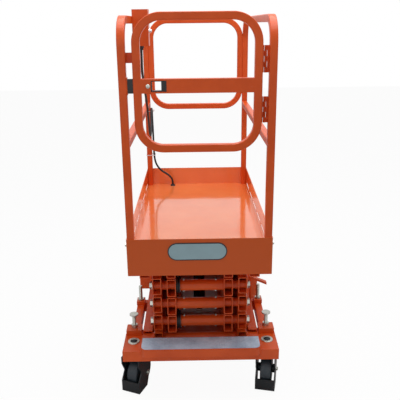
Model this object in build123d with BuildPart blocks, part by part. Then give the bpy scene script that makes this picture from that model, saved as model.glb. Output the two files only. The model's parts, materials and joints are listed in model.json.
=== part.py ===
from build123d import *
import math
import os

# Small push-around scissor lift. Millimetres, +Z up, +X to the right and +Y
# to the back as seen by someone facing the gate. The origin is on the floor
# below the middle of the deck.

# Deck tray
deck_length = 1170
deck_width = 600
deck_top = 684
board_height = 99
skirt_depth = 63
sheet = 3
tray_corner = 5
slot_count = 6
slot_length = 150
slot_height = 12
slot_pitch = 180
slot_above_deck = 18

# Guard rails and gate, all of one square tube
tube = 30
tube_corner = 4
bend_radius = 110
guard_top = 1650
mid_rail_z = 1170
post_inset = 3
rear_loop_height = 506
gate_side_gap = 24.5
gate_rise = 10
gate_height = 518
bar_below_top = 291
gate_bar_height = 53
window_from_side = 66.5
window_width = 59
window_wall = 6
grip_width = 9
keeper_thick = 3
latch_gap = 1.5
hinge_leaf = 2.5
hinge_knuckle_radius = 5
hinge_pin_radius = 2.5
hinge_height = 100
hinge_knuckles = 5
hinge_gap = 0.3
upper_hinge_below = 171
lower_hinge_below = 360
stop_below = 181
stop_height = 38
stop_overlap = 18

# Control box on the left top rail
box_width = 67
box_depth = 70
box_height = 146
box_rise = 26
box_from_front = 310

# Control cable and its glands
cable_radius = 5.5
gland_radius = 12
gland_height = 18
grommet_radius = 15
grommet_height = 8
entry_from_side = 153
entry_from_rear = 40

# Scissor stack of four levels
levels = 4
arm_length = 920
arm_tall = 80
arm_wide = 40
arm_wall = 4
arm_corner = 5
inner_arm_x = 127
arm_gap = 24
outer_arm_offset = 16
arm_overhang = 42
pivot_from_front = 168
pivot_base_z = 224
level_pitch = 90
cross_tube_radius = 25
pivot_pin_radius = 12.5
pin_end_shown = 6
pin_sunk = 40
bush_radius = 20
head_radius = 18
centre_head = 6
nut_thick = 11
washer_radius = 22
washer_thick = 4
running = 0.08
open_pivot = 0.3
face_gap = 0.3

# Roller channels on chassis and deck
channel_gap = 12
channel_wide = 42
channel_wall = 5
roller_radius = 30
roller_width = 26
roller_gap = 0.5
deck_cross_depth = 30
deck_cross_width = 60

# Chassis
beam_half_width = 345
beam_front = 20
wing_depth = 150
beam_depth = 74
beam_height = 50
step_half_width = 265
step_depth = 100
step_rise = 21
step_lip = 40
step_corner = 28
tread_thick = 2
tread_margin = 4
side_bar_x = 300
side_bar_width = 35
side_bar_end = 500
bracket_front = 153
bracket_depth = 58
bracket_half_width = 35
bracket_height = 25
screw_x = 306
screw_y = 187
screw_radius = 8
disc_radius = 20
disc_above_beam = 89
disc_thick = 5
collar_radius = 14.5
collar_height = 15
rear_block_y = 465
rear_block_length = 50
rear_block_height = 20
rear_screw_top = 345
lever_z = 372
rear_beam_gap = 9.4
rear_beam_thick = 30
tie_from_front = 520
tie_width = 60
tie_thick = 10
cover_gap = 3
cover_outer_x = 338
cover_from_front = 800
cover_length = 310
cover_top = 400
left_cover_bottom = 160
right_cover_bottom = 50

# Casters and rear wheels
caster_x = 302
caster_from_front = 103
caster_trail = 35
left_swivel = -23
right_swivel = -13
wheel_radius = 75
wheel_width = 50
fork_side_gap = 15
fork_sheet = 5
fork_clear = 32
race_radius = 40
race_height = 15
stem_radius = 12.5
axle_radius = 6
ring_hole_radius = 27
stem_nut_radius = 14
rear_wheel_x = 218
rear_wheel_from_front = 1030

# Hydraulic cylinder between the two lowest inner arms
cylinder_foot_along = -160
cylinder_foot_below = 50
cylinder_eye_along = 210
cylinder_eye_above = 65
barrel_radius = 30
barrel_end = 352
rod_radius = 16
eye_radius = 24
eye_half_width = 15
eye_side_gap = 3
cylinder_pin_radius = 12.5
ear_radius = 24
ear_thick = 10
ear_pad_thick = 5

# Worked out from the sizes above
front = -deck_length / 2
pivot_y = front + pivot_from_front
stowed_angle = math.degrees(math.asin(level_pitch / arm_length))
stowed_span = arm_length * math.cos(math.radians(stowed_angle))
pivot_z = [pivot_base_z + level_pitch * n for n in range(levels + 1)]
rear_pivot_y = pivot_y + stowed_span
middle_y = pivot_y + stowed_span / 2
outer_arm_x = inner_arm_x + arm_wide + arm_gap
inner_face_x = inner_arm_x + arm_wide / 2
outer_face_x = outer_arm_x + arm_wide / 2
ear_inner_x = inner_arm_x - arm_wide / 2 - ear_pad_thick - ear_thick
post_outer_x = deck_width / 2 - sheet
post_inner_x = post_outer_x - tube
skirt_bottom = deck_top - skirt_depth
board_top = deck_top + board_height
deck_rail_top = deck_top - sheet
entry_x = -(deck_width / 2 - entry_from_side)
entry_y = deck_length / 2 - entry_from_rear
channel_inner_x = outer_face_x + channel_gap
channel_outer_x = channel_inner_x + channel_wide
channel_half = roller_radius + roller_gap + channel_wall
gate_front = front + post_inset
gate_half_width = post_inner_x - gate_side_gap
gate_top = guard_top + gate_rise
gate_bottom = gate_top - gate_height
gate_bar_bottom = gate_top - bar_below_top
latch_mid_z = gate_bar_bottom + gate_bar_height / 2
window_left = window_from_side - gate_half_width
window_right = window_left + window_width
rear_loop_bottom = guard_top - rear_loop_height
box_top = guard_top + box_rise
box_bottom = box_top - box_height
fork_top = 2 * wheel_radius + fork_clear
fork_half_width = wheel_width / 2 + fork_side_gap + fork_sheet
beam_bottom = fork_top + race_height
beam_top = beam_bottom + beam_height
step_top = beam_top + step_rise
disc_z = beam_top + disc_above_beam
cover_inner_x = channel_outer_x + cover_gap

os.makedirs("parts", exist_ok=True)


def finish(piece, name):
    """Labels one finished piece and writes it to its own file."""
    piece.part.label = name
    export_step(piece.part, "parts/" + name + ".step")


def stack_middle(level):
    """Height of the centre pivot of a level, counted from 1."""
    return (pivot_z[level - 1] + pivot_z[level]) / 2


# Deck tray: folded sheet box with a plate floor and drain slots in the sides
with BuildPart() as deck_tray:
    with BuildSketch(Plane.XY.offset(skirt_bottom)):
        RectangleRounded(deck_width, deck_length, tray_corner)
        RectangleRounded(
            deck_width - 2 * sheet, deck_length - 2 * sheet, tray_corner - sheet, mode=Mode.SUBTRACT
        )
    extrude(amount=board_top - skirt_bottom)
    with BuildSketch(Plane.XY.offset(deck_top - sheet)):
        Rectangle(deck_width - sheet, deck_length - sheet)
    extrude(amount=sheet)
    with BuildSketch(Plane.YZ):
        with Locations((0, deck_top + slot_above_deck)):
            with GridLocations(slot_pitch, 0, slot_count, 1):
                SlotOverall(slot_length, slot_height)
    extrude(amount=deck_width, both=True, mode=Mode.SUBTRACT)
    with BuildSketch(Plane.XY.offset(deck_top - sheet)):
        with GridLocations(
            2 * post_outer_x - tube, deck_length - 2 * post_inset - tube, 2, 2
        ):
            Rectangle(tube, tube)
        with Locations((entry_x, entry_y)):
            Circle(grommet_radius + running)
    extrude(amount=sheet, mode=Mode.SUBTRACT)
finish(deck_tray, "deck_tray")

# Deck frame: roller channels, their upper rails, cross members and pivot lugs
channel_mouth = channel_outer_x - channel_inner_x - channel_wall
with BuildPart() as deck_frame:
    with BuildSketch(Plane.XZ.offset(-(pivot_y - arm_overhang))):
        with Locations(((channel_inner_x + channel_outer_x) / 2, pivot_z[levels])):
            Rectangle(channel_outer_x - channel_inner_x, 2 * channel_half)
        with Locations((channel_inner_x + channel_mouth / 2, pivot_z[levels])):
            Rectangle(channel_mouth, 2 * (channel_half - channel_wall), mode=Mode.SUBTRACT)
        with Locations(((channel_inner_x + channel_outer_x) / 2, pivot_z[levels] + channel_half)):
            Rectangle(
                channel_outer_x - channel_inner_x,
                deck_rail_top - pivot_z[levels] - channel_half,
                align=(Align.CENTER, Align.MIN),
            )
    extrude(amount=-(rear_pivot_y + arm_overhang - pivot_y + arm_overhang))
    mirror(about=Plane.YZ)
    with BuildSketch(Plane.XY.offset(deck_rail_top)):
        for member_y in (pivot_y, middle_y, rear_pivot_y):
            with Locations((0, member_y)):
                Rectangle(2 * channel_inner_x, deck_cross_width)
    extrude(amount=-deck_cross_depth)
    lug_x = inner_face_x + face_gap
    with BuildSketch(Plane.YZ.offset(lug_x)):
        with Locations((pivot_y, pivot_z[levels])):
            Circle(bush_radius + 5)
        with Locations((pivot_y, pivot_z[levels])):
            Rectangle(
                2 * (bush_radius + 5),
                deck_rail_top - pivot_z[levels],
                align=(Align.CENTER, Align.MIN),
            )
        with Locations((pivot_y, pivot_z[levels])):
            Circle(pivot_pin_radius + running, mode=Mode.SUBTRACT)
    deck_lug = extrude(amount=12)
    mirror(deck_lug, about=Plane.YZ)
finish(deck_frame, "deck_frame")


def guard_side(side):
    """One side guard: a bent hoop with its mid rail, and on the left the latch's keeper."""
    with BuildPart() as guard:
        foot_z = deck_top - sheet
        hoop_height = guard_top - foot_z
        hoop_length = deck_length - 2 * post_inset
        low_x = post_inner_x if side > 0 else -post_outer_x
        with BuildSketch(Plane.YZ.offset(low_x)) as outline:
            with Locations((0, foot_z)):
                Rectangle(hoop_length, hoop_height, align=(Align.CENTER, Align.MIN))
            fillet(outline.vertices().group_by(Axis.Y)[-1], bend_radius)
            with BuildSketch(Plane.XY, mode=Mode.SUBTRACT) as inside:
                with Locations((0, foot_z)):
                    Rectangle(
                        hoop_length - 2 * tube, hoop_height - tube, align=(Align.CENTER, Align.MIN)
                    )
                fillet(inside.vertices().group_by(Axis.Y)[-1], bend_radius - tube)
        extrude(amount=tube)
        long_edges = guard.faces().group_by(Axis.X)
        fillet(long_edges[0].edges() + long_edges[-1].edges(), tube_corner)
        with BuildSketch(Plane.XZ.offset(hoop_length / 2 - tube / 2)):
            with Locations((low_x + tube / 2, mid_rail_z)):
                RectangleRounded(tube, tube, tube_corner)
        extrude(amount=-(hoop_length - tube))
        if side < 0:
            with BuildSketch(Plane.XZ.offset(-(gate_front + 2))):
                with Locations((-post_inner_x, latch_mid_z)):
                    Rectangle(keeper_thick, gate_bar_height + 12, align=(Align.MIN, Align.CENTER))
            extrude(amount=-(tube - 4))
    return guard


finish(guard_side(-1), "guard_left")
finish(guard_side(1), "guard_right")

# Rear guard: a closed loop of the same tube between the rear posts
with BuildPart() as rear_guard:
    rear_face = deck_length / 2 - post_inset
    with BuildSketch(Plane.XZ.offset(-rear_face)):
        with Locations((0, (guard_top + rear_loop_bottom) / 2)):
            RectangleRounded(2 * post_inner_x, rear_loop_height, bend_radius)
            RectangleRounded(
                2 * (post_inner_x - tube),
                rear_loop_height - 2 * tube,
                bend_radius - tube,
                mode=Mode.SUBTRACT,
            )
    extrude(amount=tube)
    flat_faces = rear_guard.faces().group_by(Axis.Y)
    fillet(flat_faces[0].edges() + flat_faces[-1].edges(), tube_corner)
finish(rear_guard, "rear_guard")

# Gate: a closed loop with a latch bar across it
with BuildPart() as gate_frame:
    with BuildSketch(Plane.XZ.offset(-gate_front)):
        with Locations((0, (gate_top + gate_bottom) / 2)):
            RectangleRounded(2 * gate_half_width, gate_height, bend_radius)
            RectangleRounded(
                2 * (gate_half_width - tube),
                gate_height - 2 * tube,
                bend_radius - tube,
                mode=Mode.SUBTRACT,
            )
    extrude(amount=-tube)
    flat_faces = gate_frame.faces().group_by(Axis.Y)
    fillet(flat_faces[0].edges() + flat_faces[-1].edges(), tube_corner)
    with BuildSketch(Plane.XZ.offset(-gate_front)):
        with Locations((0, gate_bar_bottom + gate_bar_height / 2)):
            Rectangle(2 * (gate_half_width - tube / 2), gate_bar_height)
        with Locations(((window_left + window_right) / 2, gate_bar_bottom + gate_bar_height / 2)):
            Rectangle(window_width, gate_bar_height - 2 * window_wall, mode=Mode.SUBTRACT)
    extrude(amount=-tube)
    with BuildSketch(Plane.XZ.offset(-(gate_front + tube + face_gap))):
        with Locations((-post_inner_x - stop_overlap, gate_top - stop_below)):
            Rectangle(
                gate_side_gap + stop_overlap + tube, stop_height, align=(Align.MIN, Align.MIN)
            )
    extrude(amount=-5)
    with BuildSketch(Plane.XZ.offset(-(gate_front + tube))):
        with Locations((-gate_half_width + tube / 2, gate_top - stop_below + stop_height / 2)):
            Rectangle(tube / 2, stop_height - 8)
    extrude(amount=-2)
finish(gate_frame, "gate_frame")

# Latch: black slide with its grip in the window and its end towards the post
with BuildPart() as gate_latch:
    with BuildSketch(Plane.XZ.offset(-(gate_front + 5))):
        with Locations((-gate_half_width, latch_mid_z)):
            Rectangle(
                post_inner_x - keeper_thick - latch_gap - gate_half_width,
                gate_bar_height,
                align=(Align.MAX, Align.CENTER),
            )
    extrude(amount=-(tube - 10))
    with BuildSketch(Plane.XZ.offset(-(gate_front + 2))):
        with Locations((window_right, latch_mid_z)):
            Rectangle(grip_width, gate_bar_height - 2 * window_wall, align=(Align.MAX, Align.CENTER))
    extrude(amount=-(tube - 4))
finish(gate_latch, "gate_latch")

# Hinges: five knuckles each, on the rear faces of gate and right post
hinge_x = (gate_half_width + post_inner_x) / 2
hinge_y = gate_front + tube + hinge_leaf / 2
knuckle = hinge_height / hinge_knuckles


def hinge_half(first_knuckle, leaf_far_x, with_pin):
    """Leaves and knuckles of one half of both hinges."""
    with BuildPart() as half:
        for middle_z in (gate_top - upper_hinge_below, gate_top - lower_hinge_below):
            low_z = middle_z - hinge_height / 2
            taken = range(first_knuckle, hinge_knuckles, 2)
            for count in taken:
                start_z = low_z + count * knuckle + hinge_gap / 2
                with BuildSketch(Plane.XY.offset(start_z)):
                    with Locations((hinge_x, hinge_y)):
                        Circle(hinge_knuckle_radius)
                    with Locations(((hinge_x + leaf_far_x) / 2, hinge_y)):
                        Rectangle(abs(leaf_far_x - hinge_x), hinge_leaf)
                extrude(amount=knuckle - hinge_gap)
            with BuildSketch(Plane.XY.offset(low_z + hinge_gap / 2)):
                near_x = hinge_x + math.copysign(hinge_knuckle_radius + 1, leaf_far_x - hinge_x)
                with Locations(((near_x + leaf_far_x) / 2, hinge_y)):
                    Rectangle(abs(leaf_far_x - near_x), hinge_leaf)
            extrude(amount=hinge_height - hinge_gap)
            with BuildSketch(Plane.XY.offset(low_z)):
                with Locations((hinge_x, hinge_y)):
                    Circle(hinge_pin_radius + (0 if with_pin else running))
            extrude(amount=hinge_height, mode=Mode.ADD if with_pin else Mode.SUBTRACT)
    return half


finish(hinge_half(0, post_inner_x + tube * 0.6, True), "post_hinges")
finish(hinge_half(1, gate_half_width - tube * 0.6, False), "gate_hinges")

# Control box on the inner side of the left top rail
with BuildPart() as control_box:
    with BuildSketch(Plane.XY.offset(box_bottom)):
        with Locations((-post_inner_x + box_width / 2, front + box_from_front + box_depth / 2)):
            Rectangle(box_width, box_depth)
    extrude(amount=box_top - box_bottom)
    fillet(control_box.edges().filter_by(Axis.Z), 3)
finish(control_box, "control_box")


def arm_section(along, plane_x):
    """Section of an open-ended rectangular tube at the front end of an arm's line."""
    with BuildSketch(along.offset(arm_length / 2 + arm_overhang)) as section:
        with Locations((plane_x, 0)):
            RectangleRounded(arm_wide, arm_tall, arm_corner)
            RectangleRounded(
                arm_wide - 2 * arm_wall, arm_tall - 2 * arm_wall, arm_corner / 2, mode=Mode.SUBTRACT
            )
    return section.sketch


def arm_plane(level, tilt):
    """Plane across an arm at its centre: x right, y square to the arm, z along it."""
    rise = math.radians(tilt)
    return Plane(
        origin=(0, middle_y, stack_middle(level)),
        x_dir=(1, 0, 0),
        z_dir=(0, -math.cos(rise), -math.sin(rise)),
    )


def pivots_of(level, outer):
    """Y and Z of an arm's three pivots, front, centre and rear."""
    low, high = pivot_z[level - 1], pivot_z[level]
    if outer:
        return ((pivot_y, low), (middle_y, stack_middle(level)), (rear_pivot_y, high))
    return ((pivot_y, high), (middle_y, stack_middle(level)), (rear_pivot_y, low))


def outer_arms(level):
    """The pair of outer arms of one level, each with its three bushes."""
    lean = math.degrees(math.atan(2 * outer_arm_offset / arm_length))
    along = arm_plane(level, stowed_angle - lean)
    with BuildPart() as arms:
        extrude(arm_section(along, outer_arm_x), amount=-(arm_length + 2 * arm_overhang))
        tube_face = outer_arm_x - arm_wide / 2
        bush_start = (inner_face_x + tube_face) / 2 + face_gap / 2
        for at_y, at_z in pivots_of(level, True):
            alone = at_z in (pivot_z[0], pivot_z[levels])
            start = tube_face if alone else bush_start
            with BuildSketch(Plane.YZ.offset(start)):
                with Locations((at_y, at_z)):
                    Circle(bush_radius)
            extrude(amount=outer_face_x - start)
        for at_y, at_z in pivots_of(level, True):
            with BuildSketch(Plane.YZ.offset(bush_start)):
                with Locations((at_y, at_z)):
                    rear = at_y == rear_pivot_y
                    Circle(pivot_pin_radius + (open_pivot if rear else running))
            extrude(amount=outer_face_x, mode=Mode.SUBTRACT)
        mirror(about=Plane.YZ)
    return arms


def inner_arms(level):
    """The pair of inner arms of one level, joined by two cross tubes."""
    along = arm_plane(level, -stowed_angle)
    with BuildPart() as arms:
        extrude(arm_section(along, inner_arm_x), amount=-(arm_length + 2 * arm_overhang))
        bush_end = (inner_face_x + outer_arm_x - arm_wide / 2) / 2 - face_gap / 2
        for at_y, at_z in pivots_of(level, False):
            alone = at_z in (pivot_z[0], pivot_z[levels])
            with BuildSketch(Plane.YZ.offset(inner_arm_x - arm_wide / 2)):
                with Locations((at_y, at_z)):
                    Circle(bush_radius)
            extrude(amount=(inner_face_x if alone else bush_end) - inner_arm_x + arm_wide / 2)
        for at_y, at_z in (pivots_of(level, False)[0], pivots_of(level, False)[2]):
            with BuildSketch(Plane.YZ):
                with Locations((at_y, at_z)):
                    Circle(cross_tube_radius)
            extrude(amount=inner_arm_x - arm_wide / 2)
        if level in (1, 2):
            at = (foot_y, foot_z) if level == 1 else (eye_y, eye_z)
            root = ear_roots[level - 1]
            extrude(ear_outline(at, root), amount=ear_thick)
            extrude(ear_pad(root), amount=ear_pad_thick)
        for at_y, at_z in pivots_of(level, False):
            with BuildSketch(Plane.YZ.offset(inner_arm_x - arm_wide / 2 - pin_sunk - 10)):
                with Locations((at_y, at_z)):
                    Circle(pivot_pin_radius + running)
            extrude(amount=bush_end, mode=Mode.SUBTRACT)
        mirror(about=Plane.YZ)
    return arms


def along_arm(level, along_y, up):
    """Y and Z of a place on an inner arm, by its distance behind and above the centre."""
    turn = math.radians(-stowed_angle)
    at_y = middle_y + along_y * math.cos(turn) - up * math.sin(turn)
    at_z = stack_middle(level) + along_y * math.sin(turn) + up * math.cos(turn)
    return at_y, at_z


foot_y, foot_z = along_arm(1, cylinder_foot_along, -cylinder_foot_below)
eye_y, eye_z = along_arm(2, cylinder_eye_along, cylinder_eye_above)
ear_roots = (along_arm(1, cylinder_foot_along, 0), along_arm(2, cylinder_eye_along, 0))


def ear_outline(at, root):
    """Ear plate from an arm's middle line out to one end of the cylinder."""
    middle = ((at[0] + root[0]) / 2, (at[1] + root[1]) / 2)
    angle = math.degrees(math.atan2(root[1] - at[1], root[0] - at[0]))
    with BuildSketch(Plane.YZ.offset(ear_inner_x)) as outline:
        with Locations(Location((middle[0], middle[1], 0), (0, 0, angle))):
            SlotCenterToCenter(math.dist(at, root), 2 * ear_radius)
        with Locations(at):
            Circle(cylinder_pin_radius + running, mode=Mode.SUBTRACT)
    return outline.sketch


def ear_pad(root):
    """Pad between an ear and the inner face of its arm."""
    with BuildSketch(Plane.YZ.offset(ear_inner_x + ear_thick)) as pad:
        with Locations(root):
            Circle(ear_radius)
    return pad.sketch


for level in range(1, levels + 1):
    finish(outer_arms(level), "outer_arms_" + str(level))
    finish(inner_arms(level), "inner_arms_" + str(level))


def pivot_pins(level):
    """Pins that an inner arm pair carries: front, centre and rear, with heads outside."""
    arm_inside_x = inner_arm_x - arm_wide / 2
    with BuildPart() as pins:
        for place, (at_y, at_z) in zip(("front", "centre", "rear"), pivots_of(level, False)):
            if place == "rear" and level == 1:
                continue
            if place == "front" and level == levels:
                pin_end = inner_face_x + 14
            else:
                pin_end = outer_face_x + face_gap
            pin_start = arm_inside_x - (pin_end_shown if place == "centre" else pin_sunk)
            with BuildSketch(Plane.YZ.offset(pin_start)):
                with Locations((at_y, at_z)):
                    Circle(pivot_pin_radius)
            extrude(amount=pin_end - pin_start)
            if place == "centre":
                with BuildSketch(Plane.YZ.offset(outer_face_x + face_gap)):
                    with Locations((at_y, at_z)):
                        Circle(head_radius)
                extrude(amount=centre_head)
            else:
                with BuildSketch(Plane.YZ.offset(pin_end)):
                    with Locations((at_y, at_z)):
                        Circle(washer_radius)
                extrude(amount=washer_thick)
                with BuildSketch(Plane.YZ.offset(pin_end + washer_thick)):
                    with Locations((at_y, at_z)):
                        RegularPolygon(head_radius, 6)
                extrude(amount=nut_thick)
        if level == 2:
            with BuildSketch(Plane.YZ.offset(eye_half_width + eye_side_gap)):
                with Locations((eye_y, eye_z)):
                    Circle(cylinder_pin_radius)
            extrude(amount=ear_inner_x + ear_thick - eye_half_width - eye_side_gap)
        mirror(about=Plane.YZ)
    return pins


for level in range(1, levels + 1):
    finish(pivot_pins(level), "pivot_pins_" + str(level))


def roller_pair(at_z, axle_start):
    """Two rollers on their stub axles, at the rear end of an arm pair."""
    roller_start = channel_inner_x + 4
    with BuildPart() as rollers:
        with BuildSketch(Plane.YZ.offset(axle_start)):
            with Locations((rear_pivot_y, at_z)):
                Circle(pivot_pin_radius)
        extrude(amount=roller_start - axle_start)
        with BuildSketch(Plane.YZ.offset(roller_start)):
            with Locations((rear_pivot_y, at_z)):
                Circle(roller_radius)
        extrude(amount=roller_width)
        mirror(about=Plane.YZ)
    return rollers


finish(roller_pair(pivot_z[0], inner_arm_x - arm_wide / 2 - pin_sunk), "floor_rollers")
finish(roller_pair(pivot_z[levels], outer_arm_x - arm_wide / 2), "deck_rollers")

# Cylinder: barrel with its foot eye, along its own line between the two pins
reach = math.dist((foot_y, foot_z), (eye_y, eye_z))
cylinder_line = Plane(
    origin=(0, foot_y, foot_z), x_dir=(1, 0, 0), z_dir=(0, eye_y - foot_y, eye_z - foot_z)
)
with BuildPart() as cylinder_barrel:
    with BuildSketch(cylinder_line.offset(eye_radius - 4)):
        Circle(barrel_radius)
    extrude(amount=barrel_end - eye_radius + 4)
    with BuildSketch(Plane.YZ.offset(-eye_half_width)):
        with Locations((foot_y, foot_z)):
            Circle(eye_radius)
    extrude(amount=2 * eye_half_width)
    with BuildSketch(cylinder_line.offset(barrel_end - 180)):
        Circle(rod_radius + running)
    extrude(amount=180, mode=Mode.SUBTRACT)
    with BuildSketch(Plane.YZ.offset(-ear_inner_x - ear_thick)):
        with Locations((foot_y, foot_z)):
            Circle(cylinder_pin_radius)
    extrude(amount=2 * (ear_inner_x + ear_thick))
finish(cylinder_barrel, "cylinder_barrel")

with BuildPart() as cylinder_rod:
    with BuildSketch(cylinder_line.offset(barrel_end - 178)):
        Circle(rod_radius)
    extrude(amount=reach - eye_radius + 4 - barrel_end + 178)
    with BuildSketch(Plane.YZ.offset(-eye_half_width)):
        with Locations((eye_y, eye_z)):
            Circle(eye_radius)
    extrude(amount=2 * eye_half_width)
    with BuildSketch(Plane.YZ.offset(-eye_half_width)):
        with Locations((eye_y, eye_z)):
            Circle(cylinder_pin_radius + running)
    extrude(amount=2 * eye_half_width, mode=Mode.SUBTRACT)
finish(cylinder_rod, "cylinder_rod")

# Front beam with a wing at each side, bored for the casters' stems
caster_y = front + caster_from_front
with BuildPart() as front_beam:
    with BuildSketch(Plane.XY.offset(beam_bottom)):
        with Locations((0, front + beam_front)):
            Rectangle(2 * beam_half_width, beam_depth, align=(Align.CENTER, Align.MIN))
        wing_width = beam_half_width - channel_inner_x
        for side in (-1, 1):
            with Locations((side * (channel_inner_x + wing_width / 2), front + beam_front)):
                Rectangle(wing_width, wing_depth, align=(Align.CENTER, Align.MIN))
    extrude(amount=beam_height)
    with BuildSketch(Plane.XY.offset(beam_bottom)):
        for side in (-1, 1):
            with Locations((side * caster_x, caster_y)):
                Circle(stem_radius + running)
    extrude(amount=beam_height, mode=Mode.SUBTRACT)
    with BuildSketch(Plane.XY.offset(beam_top - 8)):
        for side in (-1, 1):
            with Locations((side * caster_x, caster_y)):
                Circle(ring_hole_radius)
    extrude(amount=8, mode=Mode.SUBTRACT)
finish(front_beam, "front_beam")

# Step: a shallow pan over the beam with an aluminium tread on it
with BuildPart() as step_pan:
    pan_top = step_top - tread_thick
    with BuildSketch(Plane.XY.offset(step_top - step_lip)) as pan_outline:
        with Locations((0, front)):
            Rectangle(2 * step_half_width, step_depth, align=(Align.CENTER, Align.MIN))
        fillet(pan_outline.vertices().group_by(Axis.Y)[0], step_corner)
    extrude(amount=pan_top - step_top + step_lip)
    with BuildSketch(Plane.XY.offset(step_top - step_lip)) as pan_inside:
        with Locations((0, front + sheet)):
            Rectangle(
                2 * (step_half_width - sheet), step_depth, align=(Align.CENTER, Align.MIN)
            )
        fillet(pan_inside.vertices().group_by(Axis.Y)[0], step_corner - sheet)
    extrude(amount=pan_top - sheet - step_top + step_lip, mode=Mode.SUBTRACT)
    with BuildSketch(Plane.XY.offset(step_top - step_lip)):
        with Locations((0, front + beam_front)):
            Rectangle(2 * beam_half_width, wing_depth, align=(Align.CENTER, Align.MIN))
    extrude(amount=beam_top - step_top + step_lip, mode=Mode.SUBTRACT)
finish(step_pan, "step_pan")

with BuildPart() as step_tread:
    with BuildSketch(Plane.XY.offset(pan_top)) as tread_outline:
        with Locations((0, front + tread_margin)):
            Rectangle(
                2 * (step_half_width - tread_margin),
                step_depth - 2 * tread_margin,
                align=(Align.CENTER, Align.MIN),
            )
        fillet(tread_outline.vertices().group_by(Axis.Y)[0], step_corner - tread_margin)
    extrude(amount=tread_thick)
finish(step_tread, "step_tread")

# Side rails, C channels open towards the middle, with a rear beam and a flat tie between them
rail_start = front + beam_front + wing_depth
rail_end = rear_pivot_y + arm_overhang + rear_beam_gap


with BuildPart() as side_rails:
    with BuildSketch(Plane.XZ.offset(-rail_start)):
        with Locations(((channel_inner_x + channel_outer_x) / 2, pivot_z[0])):
            Rectangle(channel_outer_x - channel_inner_x, 2 * channel_half)
        with Locations((channel_inner_x + channel_mouth / 2, pivot_z[0])):
            Rectangle(channel_mouth, 2 * (channel_half - channel_wall), mode=Mode.SUBTRACT)
    extrude(amount=-(rail_end - rail_start))
    mirror(about=Plane.YZ)
finish(side_rails, "side_rails")

with BuildPart() as cross_members:
    with BuildSketch(Plane.XY.offset(pivot_z[0] - channel_half)):
        with Locations((0, rail_end)):
            Rectangle(2 * channel_outer_x, rear_beam_thick, align=(Align.CENTER, Align.MIN))
    extrude(amount=2 * channel_half)
    with BuildSketch(Plane.XY.offset(pivot_z[0] - channel_half)):
        with Locations((0, front + tie_from_front)):
            Rectangle(2 * channel_inner_x, tie_width, align=(Align.CENTER, Align.MIN))
    extrude(amount=tie_thick)
finish(cross_members, "cross_members")

# Front pivots: a tube between two lugs behind the beam, a lug beside each rail, and the pins
with BuildPart() as front_pivots:
    lug_front = front + beam_front + beam_depth
    lug_places = (
        outer_arm_x - arm_wide / 2 - face_gap - 12,
        outer_face_x + face_gap,
    )
    for lug_start in lug_places:
        with BuildSketch(Plane.YZ.offset(lug_start)):
            with Locations((pivot_y, pivot_z[0])):
                Circle(cross_tube_radius)
            with Locations((lug_front, pivot_z[0])):
                Rectangle(
                    pivot_y - lug_front, 2 * cross_tube_radius, align=(Align.MIN, Align.CENTER)
                )
        extrude(amount=channel_inner_x - outer_face_x - face_gap if lug_start > outer_arm_x else 12)
    for radius, far_x in ((cross_tube_radius, lug_places[0]), (pivot_pin_radius, channel_inner_x)):
        with BuildSketch(Plane.YZ):
            with Locations((pivot_y, pivot_z[0])):
                Circle(radius)
        extrude(amount=far_x)
    mirror(about=Plane.YZ)
finish(front_pivots, "front_pivots")

# Outer bars behind the wings, with their screw brackets and raised rear blocks
with BuildPart() as side_bars:
    with BuildSketch(Plane.XY.offset(beam_bottom)):
        with Locations((side_bar_x, rail_start)):
            Rectangle(
                side_bar_width, front + side_bar_end - rail_start, align=(Align.CENTER, Align.MIN)
            )
        for foot_front in (rail_start, front + side_bar_end - side_bar_width):
            with Locations((channel_outer_x, foot_front)):
                Rectangle(
                    side_bar_x - channel_outer_x, side_bar_width, align=(Align.MIN, Align.MIN)
                )
    extrude(amount=beam_height)
    with BuildSketch(Plane.XY.offset(beam_top)):
        with Locations((screw_x, front + bracket_front)):
            Rectangle(2 * bracket_half_width, bracket_depth, align=(Align.CENTER, Align.MIN))
    extrude(amount=bracket_height)
    with BuildSketch(Plane.XY.offset(beam_top)):
        with Locations((side_bar_x, front + rear_block_y)):
            Rectangle(side_bar_width + 5, rear_block_length)
    extrude(amount=rear_block_height)
    with BuildSketch(Plane.XY.offset(beam_bottom)):
        with Locations((screw_x, front + screw_y), (side_bar_x, front + rear_block_y)):
            Circle(screw_radius + running)
    extrude(amount=2 * beam_height, mode=Mode.SUBTRACT)
    mirror(about=Plane.YZ)
finish(side_bars, "side_bars")

# Screws: disc-headed at the front, plain at the back
with BuildPart() as levelling_screws:
    shank_bottom = beam_top - beam_height + 2
    for side in (-1, 1):
        with BuildSketch(Plane.XY.offset(shank_bottom)):
            with Locations((side * screw_x, front + screw_y)):
                Circle(screw_radius)
        extrude(amount=disc_z - shank_bottom)
        with BuildSketch(Plane.XY.offset(disc_z)):
            with Locations((side * screw_x, front + screw_y)):
                Circle(disc_radius)
        extrude(amount=disc_thick)
        with BuildSketch(Plane.XY.offset(beam_top + bracket_height)):
            with Locations((side * screw_x, front + screw_y)):
                Circle(collar_radius)
        extrude(amount=collar_height)
        with BuildSketch(Plane.XY.offset(shank_bottom)):
            with Locations((side * side_bar_x, front + rear_block_y)):
                Circle(screw_radius)
        extrude(amount=rear_screw_top - shank_bottom)
        with BuildSketch(Plane.XY.offset(beam_top + rear_block_height)):
            with Locations((side * side_bar_x, front + rear_block_y)):
                Circle(collar_radius)
        extrude(amount=collar_height / 2)
finish(levelling_screws, "levelling_screws")

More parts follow.
